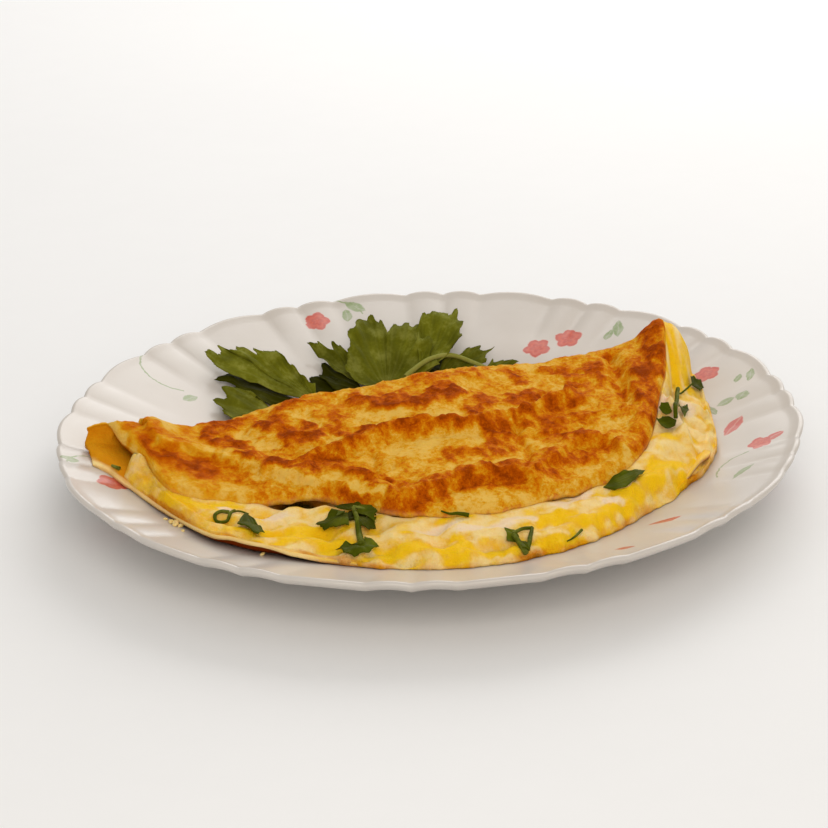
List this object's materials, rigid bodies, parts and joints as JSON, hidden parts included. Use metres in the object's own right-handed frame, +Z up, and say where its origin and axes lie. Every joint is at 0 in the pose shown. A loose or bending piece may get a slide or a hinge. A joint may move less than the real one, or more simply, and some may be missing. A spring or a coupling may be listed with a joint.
{
  "type": "folded omelette on a plate",
  "caption": "Thin omelette folded in half over soft egg, lying open side forward on a scalloped dinner plate, with flat parsley behind it.",
  "frame": {"origin": "centre of the plate's foot ring, on the surface that the plate stands on", "axes": "+Z up along the plate's axis, +X to the right along the fold, -Y towards the omelette's open side"},
  "size_m": [0.2614, 0.2604, 0.0422],
  "materials": {
    "plate": "gloss",
    "egg_crust": "satin",
    "soft_egg": "satin",
    "parsley": "matte",
    "herb": "satin"
  },
  "bodies": {
    "root": {"plate": "plate", "omelette": "egg_crust", "soft_egg": "soft_egg", "parsley_leaf_left": "parsley", "parsley_leaf_low": "parsley", "parsley_leaf_middle": "parsley", "parsley_leaf_right": "parsley", "herb_cluster": "herb", "herb_hanging": "herb", "herb_left": "herb", "herb_front": "herb", "herb_oval": "herb", "herb_right": "herb"}
  },
  "joints": []
}
